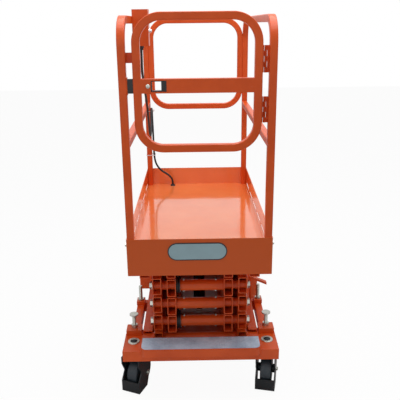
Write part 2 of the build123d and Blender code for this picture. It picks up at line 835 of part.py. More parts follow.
# Flat lever over the right rear screw, on a post beside the rail
with BuildPart() as side_lever:
    with BuildSketch(Plane.XZ.offset(-(front + rear_block_y - 12))):
        with BuildLine():
            Polyline(
                (channel_outer_x, lever_z + 8),
                (channel_outer_x, lever_z + 20),
                (beam_half_width - 2, lever_z - 14),
                (beam_half_width - 2, lever_z - 26),
                close=True,
            )
        make_face()
    extrude(amount=-24)
    with BuildSketch(Plane.XY.offset(pivot_z[0] + channel_half)):
        with Locations((channel_outer_x - 5, front + rear_block_y)):
            Rectangle(10, 24)
    extrude(amount=lever_z + 20 - pivot_z[0] - channel_half)
finish(side_lever, "side_lever")

# Covers of the pump unit and of the battery, outside the rails at the back


def side_cover(side, bottom):
    """A closed box against a rail's outer face."""
    with BuildPart() as cover:
        with BuildSketch(Plane.XY.offset(bottom)):
            with Locations((side * (cover_inner_x + cover_outer_x) / 2, front + cover_from_front)):
                Rectangle(
                    cover_outer_x - cover_inner_x, cover_length, align=(Align.CENTER, Align.MIN)
                )
        extrude(amount=cover_top - bottom)
        fillet(cover.edges().filter_by(Axis.Z), 6)
        with BuildSketch(Plane.XY.offset(pivot_z[0] - channel_half)):
            with Locations(
                (
                    side * (channel_outer_x + cover_inner_x) / 2,
                    front + cover_from_front + cover_length / 2,
                )
            ):
                Rectangle(cover_inner_x - channel_outer_x, cover_length - 60)
        extrude(amount=2 * channel_half)
    return cover


finish(side_cover(-1, left_cover_bottom), "pump_cover")
finish(side_cover(1, right_cover_bottom), "battery_cover")


def wheel_at(centre_x, centre_y, turn):
    """Plane whose z runs along a wheel's axle, at the wheel's centre."""
    angle = math.radians(turn)
    return Plane(
        origin=(centre_x, centre_y, wheel_radius),
        x_dir=(0, 0, 1),
        z_dir=(math.cos(angle), math.sin(angle), 0),
    )


def caster_fork(stem_x, turn):
    """Bent sheet fork with a toe guard, its race and its stem with nut and washer."""
    angle = math.radians(turn)
    to_side = (math.cos(angle), math.sin(angle), 0)
    side_plane = Plane(origin=(stem_x, caster_y, 0), x_dir=(-to_side[1], to_side[0], 0), z_dir=to_side)
    with BuildPart() as fork:
        with BuildSketch(side_plane.offset(-fork_half_width)):
            with BuildLine():
                Polyline(
                    (-45, fork_top),
                    (80, fork_top),
                    (80, 140),
                    (27, 10),
                    (-50, 10),
                    (-50, 65),
                    (-24, 104),
                    (-45, 148),
                    close=True,
                )
            make_face()
        extrude(amount=2 * fork_half_width)
        with BuildSketch(side_plane.offset(-fork_half_width + fork_sheet)):
            with BuildLine():
                Polyline(
                    (-60, fork_top - fork_sheet),
                    (90, fork_top - fork_sheet),
                    (90, 0),
                    (-45, 0),
                    (-45, 65),
                    (-60, 65),
                    close=True,
                )
            make_face()
        extrude(amount=2 * (fork_half_width - fork_sheet), mode=Mode.SUBTRACT)
        with BuildSketch(Plane.XY.offset(fork_top)):
            with Locations((stem_x, caster_y)):
                Circle(race_radius)
        extrude(amount=race_height - face_gap)
        with BuildSketch(Plane.XY.offset(fork_top - fork_sheet)):
            with Locations((stem_x, caster_y)):
                Circle(stem_radius)
        extrude(amount=beam_top - 3 - fork_top + fork_sheet)
        with BuildSketch(Plane.XY.offset(beam_top - 8 + face_gap)):
            with Locations((stem_x, caster_y)):
                Circle(washer_radius)
        extrude(amount=washer_thick)
        with BuildSketch(Plane.XY.offset(beam_top - 8 + face_gap + washer_thick)):
            with Locations((stem_x, caster_y)):
                RegularPolygon(stem_nut_radius, 6)
        extrude(amount=8)
        axle_x = stem_x - caster_trail * to_side[1]
        axle_y = caster_y + caster_trail * to_side[0]
        with BuildSketch(wheel_at(axle_x, axle_y, turn).offset(-fork_half_width)):
            Circle(axle_radius)
        extrude(amount=2 * fork_half_width)
    return fork


def wheel(centre_x, centre_y, turn):
    """Solid wheel with rounded tyre, dished sides and a long hub."""
    plane = wheel_at(centre_x, centre_y, turn)
    with BuildPart() as body:
        with BuildSketch(plane.offset(-wheel_width / 2)):
            Circle(wheel_radius)
        extrude(amount=wheel_width)
        fillet(body.edges(), 8)
        with BuildSketch(plane.offset(-fork_half_width + fork_sheet + 1)):
            Circle(20)
        extrude(amount=2 * (fork_half_width - fork_sheet - 1))
        with BuildSketch(plane.offset(-fork_half_width)):
            Circle(axle_radius + running)
        extrude(amount=2 * fork_half_width, mode=Mode.SUBTRACT)
    return body


for side, word, turn in ((-1, "left", left_swivel), (1, "right", right_swivel)):
    angle = math.radians(turn)
    finish(caster_fork(side * caster_x, turn), "caster_fork_" + word)
    hub_x = side * caster_x - caster_trail * math.sin(angle)
    hub_y = caster_y + caster_trail * math.cos(angle)
    finish(wheel(hub_x, hub_y, turn), "caster_wheel_" + word)


# Fixed forks under the rails with the rear wheels' axles
wheel_y = front + rear_wheel_from_front
with BuildPart() as wheel_carriers:
    carrier_top = pivot_z[0] - channel_half
    with BuildSketch(Plane.YZ.offset(rear_wheel_x - fork_half_width)):
        with BuildLine():
            Polyline(
                (wheel_y - 60, carrier_top),
                (wheel_y + 60, carrier_top),
                (wheel_y + 60, carrier_top - 20),
                (wheel_y + 20, wheel_radius - 25),
                (wheel_y - 20, wheel_radius - 25),
                (wheel_y - 60, carrier_top - 20),
                close=True,
            )
        make_face()
    extrude(amount=2 * fork_half_width)
    with BuildSketch(Plane.YZ.offset(rear_wheel_x - fork_half_width + fork_sheet)):
        with Locations((wheel_y, carrier_top - fork_sheet)):
            Rectangle(3 * wheel_radius, 3 * wheel_radius, align=(Align.CENTER, Align.MAX))
    extrude(amount=2 * (fork_half_width - fork_sheet), mode=Mode.SUBTRACT)
    with BuildSketch(wheel_at(rear_wheel_x, wheel_y, 0).offset(-fork_half_width)):
        Circle(axle_radius)
    extrude(amount=2 * fork_half_width)
    mirror(about=Plane.YZ)
finish(wheel_carriers, "wheel_carriers")

for side, word in ((-1, "left"), (1, "right")):
    finish(wheel(side * rear_wheel_x, wheel_y, 0), "rear_wheel_" + word)

# Glands of the control cable: under the control box and on the deck
box_exit = Vector(31 - post_inner_x, front + box_from_front + box_depth / 2, box_bottom - gland_height)
deck_entry = Vector(entry_x, entry_y, deck_top + grommet_height)
with BuildPart() as cable_glands:
    with BuildSketch(Plane.XY.offset(box_bottom)):
        with Locations((box_exit.X, box_exit.Y)):
            RegularPolygon(gland_radius, 6)
    extrude(amount=-gland_height / 2)
    with BuildSketch(Plane.XY.offset(box_bottom - gland_height / 2)):
        with Locations((box_exit.X, box_exit.Y)):
            Circle(gland_radius * 0.8)
    extrude(amount=-gland_height / 2, taper=12)
    with BuildSketch(Plane.XY.offset(deck_top - sheet)):
        with Locations((entry_x, entry_y)):
            Circle(grommet_radius)
    extrude(amount=sheet)
    with BuildSketch(Plane.XY.offset(deck_top)):
        with Locations((entry_x, entry_y)):
            Circle(grommet_radius)
    extrude(amount=grommet_height, taper=25)
finish(cable_glands, "cable_glands")

# Control cable: from the box it sags to the rear post, is tied there and runs down to the deck
cable_route = [
    box_exit,
    Vector(-236, front + 345, 1478),
    Vector(-239, front + 372, 1432),
    Vector(-242, front + 438, 1388),
    Vector(-245, front + 560, 1312),
    Vector(-249, front + 690, 1236),
    Vector(-253, front + 800, 1142),
    Vector(-256, front + 884, 1056),
    Vector(-256, front + 944, 1022),
    Vector(-256, front + 1000, 1048),
    Vector(-257, front + 1036, 1096),
    Vector(-257, front + 1055, 1143),
    Vector(-257, front + 1080, 1157),
    Vector(-257, front + 1107, 1153),
    Vector(-257, front + 1125, 1133),
    Vector(-257, front + 1128, 1090),
    Vector(-255, front + 1126, 1005),
    Vector(-255, front + 1128, 905),
    Vector(-250, front + 1127, 830),
    Vector(-220, front + 1127, 782),
    Vector(-171, front + 1128, 752),
    Vector(-147, front + 1130, 722),
    deck_entry,
]
cable_runs = [b - a for a, b in zip(cable_route, cable_route[1:])]
cable_radii = [
    0.45 * min(a.length, b.length) / math.tan(math.radians(a.get_angle(b)) / 2)
    for a, b in zip(cable_runs, cable_runs[1:])
]
print("cable arc radii", [round(radius) for radius in cable_radii])
with BuildPart() as control_cable:
    with BuildLine() as cable_path:
        FilletPolyline(cable_route, radius=cable_radii)
    with BuildSketch(Plane(origin=box_exit, z_dir=cable_runs[0])):
        Circle(cable_radius)
    sweep(path=cable_path.wires()[0])
cable_length = cable_path.wires()[0].length
print("cable length", round(cable_length), "volume", round(control_cable.part.volume))
print("section times length", round(math.pi * cable_radius**2 * cable_length))
finish(control_cable, "control_cable")
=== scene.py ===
import json
import math

import bmesh
import bpy
from mathutils import Matrix, Vector


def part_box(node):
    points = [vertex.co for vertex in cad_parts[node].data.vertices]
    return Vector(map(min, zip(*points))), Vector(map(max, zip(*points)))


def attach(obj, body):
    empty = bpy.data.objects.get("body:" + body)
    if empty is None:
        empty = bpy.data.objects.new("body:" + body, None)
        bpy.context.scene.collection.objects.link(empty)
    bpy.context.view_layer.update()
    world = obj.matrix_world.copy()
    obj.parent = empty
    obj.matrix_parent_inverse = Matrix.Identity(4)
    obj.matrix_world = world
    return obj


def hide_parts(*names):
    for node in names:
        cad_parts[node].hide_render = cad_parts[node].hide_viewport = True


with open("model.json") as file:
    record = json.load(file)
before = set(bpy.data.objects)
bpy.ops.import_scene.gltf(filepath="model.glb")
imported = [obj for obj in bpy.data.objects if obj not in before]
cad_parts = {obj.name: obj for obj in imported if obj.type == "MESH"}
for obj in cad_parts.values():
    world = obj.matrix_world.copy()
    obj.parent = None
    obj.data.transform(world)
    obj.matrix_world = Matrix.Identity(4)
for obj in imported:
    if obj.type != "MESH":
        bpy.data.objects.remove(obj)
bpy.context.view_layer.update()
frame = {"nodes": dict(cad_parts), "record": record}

# Sizes in metres, in the model's own frame: +X right, +Y to the back, floor at 0
tray_low, tray_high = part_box("deck_tray")
box_low, box_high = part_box("control_box")
tread_low, tread_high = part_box("step_tread")
rail_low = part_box("guard_left")[0]
gate_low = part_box("gate_frame")[0]
beam_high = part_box("front_beam")[1]
front = tray_low.y
tube = 0.03
arm_length = 0.920
level_pitch = 0.09
pivot_y = front + 0.168
first_pivot_z = 0.224
caster_x = 0.302
caster_y = front + 0.103
caster_trail = 0.035
rear_wheel_x = 0.218
rear_wheel_y = front + 1.030
axle_z = 0.075
axle_half = 0.045


# Shading
class Value:
    """A node's output socket, on which plain arithmetic adds Math nodes."""

    def __init__(self, tree, socket):
        self.tree, self.socket = tree, socket

    def maths(self, operation, *terms):
        return self.tree.node("Math", {"operation": operation}, *terms)

    def __add__(self, other):
        return self.maths("ADD", self, other)

    def __rsub__(self, other):
        return self.maths("SUBTRACT", other, self)

    def __mul__(self, other):
        return self.maths("MULTIPLY", self, other)

    __radd__ = __add__
    __rmul__ = __mul__


class Tree:
    """The nodes of a material or of the world, all made by one method."""

    def __init__(self, owner):
        owner.use_nodes = True
        self.nodes = owner.node_tree.nodes
        self.links = owner.node_tree.links

    def find(self, kind):
        return next(node for node in self.nodes if node.type == kind)

    def node(self, kind, settings, *inputs, output=0, **named):
        """Adds a node, sets its settings, then its inputs by order or by name."""
        made = self.nodes.new("ShaderNode" + kind)
        for key, value in settings.items():
            if key == "stops":
                ramp = made.color_ramp
                for stop, (at, colour) in zip_stops(ramp, value):
                    stop.position, stop.color = at, colour
            else:
                setattr(made, key, value)
        for socket, value in zip(made.inputs, inputs):
            self.join(socket, value)
        for key, value in named.items():
            self.join(made.inputs[key.replace("_", " ")], value)
        return Value(self, made.outputs[output])

    def join(self, socket, value):
        if isinstance(value, Value):
            self.links.new(value.socket, socket)
        elif value is not None:
            socket.default_value = value


class Shader(Tree):
    """One node material with a Principled surface."""

    def __init__(self, name):
        self.material = bpy.data.materials.new(name)
        super().__init__(self.material)
        self.surface = self.find("BSDF_PRINCIPLED")
        self.place = self.node("TexCoord", {}, output="Object")

    def noise(self, scale, detail, roughness=0.5):
        settings = {"Scale": scale, "Detail": detail, "Roughness": roughness}
        return self.node("TexNoise", {}, Vector=self.place, **settings)

    def ramp(self, value, *stops):
        """A grey ramp: pairs of place and level."""
        greys = [(at, (level, level, level, 1)) for at, level in stops]
        return self.node("ValToRGB", {"stops": greys}, value)

    def mix(self, factor, first, second):
        return self.node(
            "Mix", {"data_type": "RGBA"}, factor, None, None, None, None, None, first, second, output=2
        )

    def finish(self, colour, roughness, bump=None, depth=0.0, edge=0.0, **constants):
        """Joins what varies to the surface and sets what doesn't; depth and edge are in metres."""
        self.join(self.surface.inputs["Base Color"], colour)
        self.join(self.surface.inputs["Roughness"], roughness)
        normal = self.node("Bevel", {"samples": 4}, Radius=edge) if edge else None
        if bump is not None:
            normal = self.node("Bump", {}, Strength=1.0, Distance=depth, Height=bump, Normal=normal)
        if normal is not None:
            self.join(self.surface.inputs["Normal"], normal)
        for key, value in constants.items():
            self.surface.inputs[key.replace("_", " ")].default_value = value
        return self.material


def zip_stops(ramp, wanted):
    """The ramp's stops, as many as wanted, each with its place and colour."""
    while len(ramp.elements) < len(wanted):
        ramp.elements.new(1.0)
    return zip(ramp.elements, wanted)


def rgb(red, green, blue):
    """A screen colour, 0 to 255, as linear light."""
    screen_power = 2.2
    return tuple((value / 255) ** screen_power for value in (red, green, blue)) + (1,)


def powder_coat(name, light, dark, roughness, coat=0.08):
    """Sprayed enamel: faint orange peel, slight change of tone, rubbed and dusty in places."""
    paint = Shader(name)
    tone = paint.ramp(paint.noise(7, 5), (0.3, 0.0), (0.7, 1.0))
    colour = paint.mix(tone, light, dark)
    dust = paint.ramp(paint.noise(45, 6, 0.7), (0.62, 0.0), (0.8, 0.25))
    peel = paint.noise(900, 2)
    scuff = paint.ramp(paint.noise(160, 4, 0.65), (0.58, 0.0), (0.74, 1.0))
    dusty = tuple(0.6 * level + 0.2 for level in light[:3]) + (1,)
    colour = paint.mix(dust, colour, dusty)
    rough = roughness + 0.10 * paint.noise(20, 4) + 0.12 * scuff
    gloss = {"Coat_Weight": coat, "Coat_Roughness": 0.12, "IOR": 1.36}
    return paint.finish(colour, rough, peel, depth=0.00012, edge=0.0012, **gloss)


def deck_enamel():
    """Glossy enamel with the long soft waves of rolled sheet; the tray's front face is painted a
    darker orange as painted shade, and is rougher with no coat.
    """
    face_depth = 0.001
    paint = Shader("deck_enamel")
    behind = paint.node("SeparateXYZ", {}, paint.place, output="Y")
    # Mask of the tray's front face: it carries painted shade, and a rougher finish with no coat
    outside = paint.node("Math", {"operation": "LESS_THAN"}, behind, front + face_depth)
    tone = paint.ramp(paint.noise(5, 4), (0.3, 0.0), (0.7, 1.0))
    colour = paint.mix(tone, rgb(244, 134, 74), rgb(236, 120, 62))
    # Painted shade: the front face gets a darker orange than the lit top of the deck
    colour = paint.mix(outside, colour, rgb(206, 86, 26))
    waves = paint.noise(6, 2) + 0.02 * paint.noise(500, 2)
    scuff = paint.ramp(paint.noise(60, 6, 0.7), (0.55, 0.0), (0.75, 1.0))
    rough = 0.10 + 0.08 * scuff + 0.05 * paint.noise(9, 3)
    paint.join(paint.surface.inputs["Coat Weight"], 0.8 * (1 - outside))
    rough = rough + 0.2 * outside
    return paint.finish(colour, rough, waves, depth=0.004, Coat_Roughness=0.06, IOR=1.4)


def zinc(name, colour, roughness):
    """Bright zinc plate with the cloudy grain of small turned pieces."""
    metal = Shader(name)
    cloud = metal.ramp(metal.noise(140, 5, 0.6), (0.3, 0.0), (0.75, 1.0))
    darker = tuple(0.72 * level for level in colour[:3]) + (1,)
    tint = metal.mix(cloud, colour, darker)
    rough = roughness + 0.15 * metal.noise(300, 4)
    grain = metal.noise(900, 2)
    return metal.finish(tint, rough, grain, depth=0.00006, edge=0.0006, Metallic=1.0)


def hard_chrome():
    """Clean polished chrome."""
    metal = Shader("hard_chrome")
    rough = 0.06 + 0.05 * metal.noise(60, 3)
    return metal.finish(rgb(222, 224, 228), rough, Metallic=1.0)


def wheel_resin():
    """Dark solid polyurethane with a faint sheen and road dust."""
    resin = Shader("wheel_resin")
    dust = resin.ramp(resin.noise(90, 6, 0.7), (0.45, 0.0), (0.8, 0.4))
    colour = resin.mix(dust, rgb(38, 48, 56), rgb(92, 96, 98))
    rough = 0.38 + 0.25 * resin.noise(70, 4)
    return resin.finish(colour, rough, resin.noise(420, 4), depth=0.0003)


def black_plastic():
    """Moulded black plastic with a fine grain."""
    plastic = Shader("black_plastic")
    colour = plastic.mix(plastic.noise(60, 3), rgb(20, 20, 22), rgb(34, 34, 36))
    rough = 0.42 + 0.1 * plastic.noise(200, 3)
    return plastic.finish(colour, rough, plastic.noise(1500, 2), depth=0.0001, edge=0.0006)


def cable_sheath():
    """Black rubber of the cable and the hoses."""
    sheath = Shader("cable_sheath")
    colour = sheath.mix(sheath.noise(40, 3), rgb(8, 8, 11), rgb(22, 22, 27))
    rough = 0.4 + 0.15 * sheath.noise(150, 3)
    return sheath.finish(colour, rough, sheath.noise(800, 2), depth=0.0001)


def tread_plate():
    """Rolled aluminium, pale and bluish, with cloudy stains and a soft sheen."""
    plate = Shader("tread_plate")
    stain = plate.ramp(plate.noise(16, 5, 0.6), (0.35, 0.0), (0.7, 1.0))
    colour = plate.mix(stain, rgb(206, 226, 246), rgb(166, 188, 212))
    rough = 0.30 + 0.2 * plate.noise(60, 5)
    return plate.finish(colour, rough, plate.noise(700, 3), depth=0.0001, edge=0.0004, Metallic=0.15)


def nylon(name, colour):
    """Plain nylon, as of cable ties."""
    ties = Shader(name)
    return ties.finish(colour, 0.35 + 0.1 * ties.noise(200, 2))


def sign_paint(name, colour):
    """Printed film with a faint grey haze."""
    film = Shader(name)
    tone = film.ramp(film.noise(30, 4), (0.35, 0.0), (0.7, 0.12))
    hazy = film.mix(tone, colour, rgb(120, 130, 134))
    return film.finish(hazy, 0.3 + 0.06 * film.noise(80, 3))


orange_paint = powder_coat("orange_paint", rgb(228, 92, 36), rgb(210, 80, 28), 0.30)
deck_paint = deck_enamel()
black_paint = powder_coat("black_paint", rgb(22, 25, 29), rgb(32, 35, 39), 0.34, coat=0.15)
bright_zinc = zinc("bright_zinc", rgb(196, 198, 190), 0.24)
chrome = hard_chrome()
resin = wheel_resin()
plastic = black_plastic()
sheath = cable_sheath()
tread_metal = tread_plate()
white_nylon = nylon("white_nylon", rgb(225, 226, 228))
sign_blank = sign_paint("sign_blank", rgb(150, 178, 186))
sign_edge = sign_paint("sign_edge", rgb(26, 28, 32))

finishes = {
    "orange_paint": orange_paint,
    "black_paint": black_paint,
    "zinc_steel": bright_zinc,
    "chrome_rod": chrome,
    "wheel_polymer": resin,
    "black_plastic": plastic,
    "cable_rubber": sheath,
    "tread_aluminium": tread_metal,
}


def dress_nodes():
    """Gives every CAD node the finish of its slot, and the deck's tray its own enamel."""
    slots = {part["node"]: part["material_slot"] for part in frame["record"]["subparts"]}
    for name, node in frame["nodes"].items():
        finish = deck_paint if name == "deck_tray" else finishes[slots[name]]
        node.data.materials.clear()
        node.data.materials.append(finish)


# Shapes
def piece(name, mesh, body, finish):
    """Puts a finished bmesh in the scene as one piece that rides on a body."""
    sharp_degrees = 35
    bmesh.ops.recalc_face_normals(mesh, faces=mesh.faces)
    data = bpy.data.meshes.new(name)
    mesh.to_mesh(data)
    mesh.free()
    data.materials.append(finish)
    made = bpy.data.objects.new(name, data)
    bpy.context.scene.collection.objects.link(made)
    data.polygons.foreach_set("use_smooth", [True] * len(data.polygons))
    data.set_sharp_from_angle(angle=math.radians(sharp_degrees))
    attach(made, body)


def towards(axis):
    """Turns +Z to an axis."""
    return Vector((0, 0, 1)).rotation_difference(Vector(axis)).to_matrix().to_4x4()


def add_turned(mesh, profile, at, axis, sides=24):
    """Adds a solid of revolution: a profile of radius and height along an axis from a place."""
    place = Matrix.Translation(Vector(at)) @ towards(axis)
    angles = [math.tau * count / sides for count in range(sides)]
    rings = []
    for radius, height in profile:
        if radius == 0:
            points = [Vector((0, 0, height))]
        else:
            points = [Vector((radius * math.cos(a), radius * math.sin(a), height)) for a in angles]
        rings.append([mesh.verts.new(place @ point) for point in points])
    for low, high in zip(rings, rings[1:]):
        for count in range(sides):
            following = (count + 1) % sides
            corners = [low[count % len(low)], low[following % len(low)]]
            corners += [high[following % len(high)], high[count % len(high)]]
            mesh.faces.new(list(dict.fromkeys(corners)))


def add_hex_head(mesh, at, axis, across=0.013, thick=0.005):
    """Adds a washer and a hexagon head with a chamfered top."""
    washer, washer_thick, chamfer = 0.75 * across, 0.0012, 0.0008
    flat = [(0, 0), (washer, 0), (washer, washer_thick), (0, washer_thick)]
    add_turned(mesh, flat, at, axis)
    half = across / math.sqrt(3)
    low, high = washer_thick, washer_thick + thick
    head = [(0, low), (half, low), (half, high - chamfer), (0.86 * half, high), (0, high)]
    add_turned(mesh, head, at, axis, sides=6)


def add_pan_head(mesh, at, axis, radius, thick):
    """Adds a domed screw head with a shallow socket."""
    rim, shoulder, socket_floor = 0.35 * thick, 0.85 * thick, 0.45 * thick
    dome = [(0, 0), (radius, 0), (radius, rim), (0.8 * radius, shoulder), (0.45 * radius, thick)]
    socket = [(0.4 * radius, thick), (0.4 * radius, socket_floor), (0, socket_floor)]
    add_turned(mesh, dome + socket, at, axis)


def add_block(mesh, low, high):
    """Adds a box with eased edges from its two corners."""
    low, high = Vector(low), Vector(high)
    size = high - low
    made = bmesh.ops.create_cube(mesh, size=1)["verts"]
    for vert in made:
        vert.co = Vector(place * length for place, length in zip(vert.co, size))
    edges = {edge for vert in made for edge in vert.link_edges}
    ease = 0.12 * min(size)
    made = bmesh.ops.bevel(mesh, geom=list(edges), offset=ease, segments=2, affect="EDGES")
    verts = {vert for face in made["faces"] for vert in face.verts}
    middle = Matrix.Translation((low + high) / 2)
    bmesh.ops.transform(mesh, matrix=middle, verts=list(verts))


def outline_pill(half_width, half_height, steps=16):
    """Points of a pill shape lying on its side, round the middle."""
    points = []
    for side in (1, -1):
        for count in range(steps + 1):
            angle = -math.pi / 2 + math.pi * count / steps
            x = side * (half_width - half_height + half_height * math.cos(angle))
            points.append((x, side * half_height * math.sin(angle)))
    return points


def add_plate(mesh, points, centre, thick):
    """Adds an upright plate that faces the front, from its outline and middle."""
    back, face = (
        [mesh.verts.new(Vector(centre) + Vector((x, y, z))) for x, z in points] for y in (0, -thick)
    )
    mesh.faces.new(back)
    mesh.faces.new(face)
    for count in range(len(points)):
        following = (count + 1) % len(points)
        mesh.faces.new([back[count], back[following], face[following], face[count]])


def add_ring(mesh, at, axis, inner, outer, thick):
    """Adds a flat ring with an eased outer rim."""
    ease = 0.15 * thick
    outside = [(inner, 0), (outer, 0), (outer, thick - ease), (outer - ease, thick)]
    inside = [(inner, thick), (inner, 0)]
    add_turned(mesh, outside + inside, at, axis, sides=32)


# Camera and light
def photo_camera():
    """The camera at the photograph's place, angle and field of view."""
    place, degrees = (-0.0204, -2.6751, 1.6163), (-0.651, 17.709, -0.617)
    sensor_mm, lens_mm = 36, 49.66
    yaw, pitch, roll = (math.radians(angle) for angle in degrees)
    level = math.cos(pitch)
    right = Vector((math.cos(yaw), math.sin(yaw), 0))
    ahead = Vector((-math.sin(yaw) * level, math.cos(yaw) * level, -math.sin(pitch)))
    up = right.cross(ahead)
    across = math.cos(roll) * right + math.sin(roll) * up
    upright = math.cos(roll) * up - math.sin(roll) * right
    lens = bpy.data.cameras.new("camera")
    lens.sensor_width = sensor_mm
    lens.lens = lens_mm
    camera = bpy.data.objects.new("camera", lens)
    turn = Matrix((across, upright, -ahead)).transposed().to_4x4()
    camera.matrix_world = Matrix.Translation(place) @ turn
    bpy.context.scene.collection.objects.link(camera)
    bpy.context.scene.camera = camera


def area_light(name, at, aim, size, power):
    """Adds a square lamp at a place, turned to what it lights; size in metres, power in watts."""
    lamp = bpy.data.lights.new(name, "AREA")
    lamp.shape, lamp.size, lamp.energy = "SQUARE", size, power
    light = bpy.data.objects.new(name, lamp)
    light.location = at
    light.rotation_euler = (Vector(aim) - Vector(at)).to_track_quat("-Z", "Y").to_euler()
    bpy.context.scene.collection.objects.link(light)


def studio():
    """A pale floor, a white world and soft lamps, brightest from above."""
    ambient, floor_glow = 0.24, 0.95
    left_x, right_x, near_y, far_y = -9, 9, -7, 12
    scene = bpy.context.scene
    scene.view_settings.view_transform = "Standard"
    world = bpy.data.worlds.new("studio")
    scene.world = world
    sky = Tree(world)
    background = sky.find("BACKGROUND")
    background.inputs["Color"].default_value = (1, 1, 1, 1)
    seen = sky.node("LightPath", {}, output="Is Camera Ray")
    for ray in ("Is Glossy Ray", "Is Transmission Ray"):
        seen = sky.node("Math", {"operation": "MAXIMUM"}, seen, sky.node("LightPath", {}, output=ray))
    strength = ambient + (1 - ambient) * seen
    sky.join(background.inputs["Strength"], strength)

    floor = bmesh.new()
    corners = [(left_x, near_y), (right_x, near_y), (right_x, far_y), (left_x, far_y)]
    floor.faces.new([floor.verts.new((x, y, 0)) for x, y in corners])
    data = bpy.data.meshes.new("floor")
    floor.to_mesh(data)
    floor.free()
    ground = bpy.data.objects.new("floor", data)
    scene.collection.objects.link(ground)
    pale = Shader("pale_floor")
    pale.finish(rgb(246, 246, 246), 0.7)
    glow = pale.node("Emission", {}, Color=(1, 1, 1, 1), Strength=1.0)
    seen = pale.node("LightPath", {}, output="Is Camera Ray")
    lit = Value(pale, pale.surface.outputs[0])
    share = pale.node("MixShader", {}, floor_glow * seen, lit, glow)
    pale.join(pale.find("OUTPUT_MATERIAL").inputs["Surface"], share)
    data.materials.append(pale.material)

    area_light("overhead", at=(0.2, -0.2, 3.6), aim=(0, 0, 0.6), size=2.6, power=88)
    area_light("front_fill", at=(-1.6, -3.4, 2.2), aim=(0, 0, 0.8), size=1.8, power=11)


# Control cable
def control_cable():
    """The cable from the control box, sagging to the rear post and down to the deck."""
    radius = 0.0055
    route = [
        (-0.236, 0.345, 1.512),
        (-0.236, 0.345, 1.478),
        (-0.239, 0.372, 1.432),
        (-0.242, 0.438, 1.388),
        (-0.245, 0.560, 1.312),
        (-0.249, 0.690, 1.236),
        (-0.253, 0.800, 1.142),
        (-0.256, 0.884, 1.056),
        (-0.256, 0.944, 1.022),
        (-0.256, 1.000, 1.048),
        (-0.257, 1.036, 1.096),
        (-0.257, 1.055, 1.143),
        (-0.257, 1.080, 1.157),
        (-0.257, 1.107, 1.153),
        (-0.257, 1.125, 1.133),
        (-0.257, 1.128, 1.090),
        (-0.255, 1.126, 1.005),
        (-0.255, 1.128, 0.905),
        (-0.250, 1.127, 0.830),
        (-0.220, 1.127, 0.782),
        (-0.171, 1.128, 0.752),
        (-0.147, 1.130, 0.722),
        (-0.147, 1.130, 0.692),
    ]
    curve = bpy.data.curves.new("control_cable_run", "CURVE")
    curve.dimensions = "3D"
    curve.bevel_depth = radius
    curve.bevel_resolution = 5
    curve.resolution_u = 8
    curve.use_fill_caps = True
    spline = curve.splines.new("NURBS")
    spline.points.add(len(route) - 1)
    for point, (x, behind, z) in zip(spline.points, route):
        point.co = (x, front + behind, z, 1)
    spline.order_u = 3
    spline.use_endpoint_u = True
    curve.materials.append(sheath)
    cable = bpy.data.objects.new("control_cable_run", curve)
    bpy.context.scene.collection.objects.link(cable)
    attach(cable, "platform")
    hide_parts("control_cable")


# Small pieces
def cable_ties():
    """White nylon ties that hold the cable to the left rear post."""
    heights, strap, tall = (1.133, 0.872), 0.0012, 0.004
    post_y, reach = front + 1.1527, 0.0165
    low_x, high_x = rail_low.x - strap, -0.2475
    low_y, high_y = front + 1.1205, post_y + reach
    ties = bmesh.new()
    for z in heights:
        top = z + tall
        for low, high in (
            ((low_x, low_y - strap, z), (high_x, low_y, top)),
            ((low_x, high_y, z), (high_x, high_y + strap, top)),
            ((low_x - strap, low_y, z), (low_x, high_y, top)),
            ((high_x, low_y, z), (high_x + strap, high_y, top)),
        ):
            add_block(ties, low, high)
    piece("cable_ties", ties, "platform", white_nylon)


def blank_sign():
    """Pill-shaped plate on the front of the tray: dark rim, pale blank face."""
    x, z, plate_thick, film_thick = -0.0095, 0.7275, 0.0016, 0.0004
    rim_half_width, rim_half_height = 0.1225, 0.0385
    face_half_width, face_half_height = 0.1180, 0.0340
    rim = bmesh.new()
    add_plate(rim, outline_pill(rim_half_width, rim_half_height), (x, front, z), plate_thick)
    piece("sign_rim", rim, "platform", sign_edge)
    face = bmesh.new()
    middle = (x, front - plate_thick, z)
    add_plate(face, outline_pill(face_half_width, face_half_height), middle, film_thick)
    piece("sign_face", face, "platform", sign_blank)


def tray_bolts():
    """Bolts through the tray's sides into the feet of the guard posts."""
    inset, z = 0.018, 0.754
    bolts = bmesh.new()
    for side in (-1, 1):
        for y in (front + inset, -front - inset):
            add_hex_head(bolts, (side * tray_high.x, y, z), (side, 0, 0))
    piece("tray_bolts", bolts, "platform", bright_zinc)


def box_buttons():
    """Two metal push buttons on the control box's deck side."""
    heights = (1.628, 1.590)
    bezel = [(0, 0), (0.0095, 0), (0.0095, 0.004), (0.0082, 0.006), (0.0075, 0.006)]
    cap = [(0.0068, 0.0045), (0.0068, 0.010), (0.0055, 0.0115), (0, 0.0118)]
    buttons = bmesh.new()
    for z in heights:
        at = (box_high.x, (box_low.y + box_high.y) / 2, z)
        add_turned(buttons, bezel + cap, at, (1, 0, 0), sides=32)
    piece("box_buttons", buttons, "platform", chrome)


def box_screws():
    """Small cover screws on the control box's rear face."""
    inset_x, inset_z, radius, thick = 0.01, 0.012, 0.0035, 0.002
    screws = bmesh.new()
    for z in (box_low.z + inset_z, box_high.z - inset_z):
        for x in (box_low.x + inset_x, box_high.x - inset_x):
            add_pan_head(screws, (x, box_high.y, z), (0, 1, 0), radius, thick)
    piece("box_screws", screws, "platform", bright_zinc)


